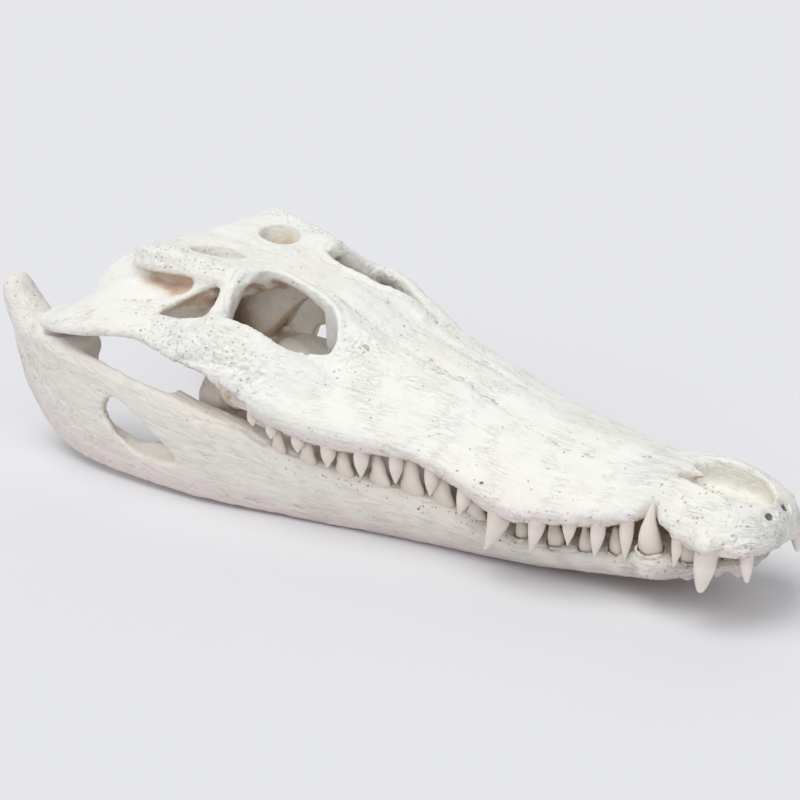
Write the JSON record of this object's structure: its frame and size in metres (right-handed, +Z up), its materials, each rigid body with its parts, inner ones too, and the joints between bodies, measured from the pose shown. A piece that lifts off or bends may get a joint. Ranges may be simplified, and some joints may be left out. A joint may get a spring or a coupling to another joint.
{
  "type": "crocodile skull",
  "caption": "Bleached crocodile skull with closed lower jaw, long toothed snout, big eye openings, flat skull table and upturned rear jaw processes, lying as it rests.",
  "frame": {"origin": "on the floor, under the middle of the skull's box", "axes": "+X towards the tip of the snout, +Y towards the animal's left side, +Z up"},
  "size_m": [0.5234, 0.1817, 0.1384],
  "materials": {
    "upper_skull_bone": "matte",
    "lower_jaw_bone": "matte"
  },
  "bodies": {
    "root": {"cranium": "upper_skull_bone", "mandible_right": "lower_jaw_bone", "mandible_left": "lower_jaw_bone"}
  },
  "joints": []
}
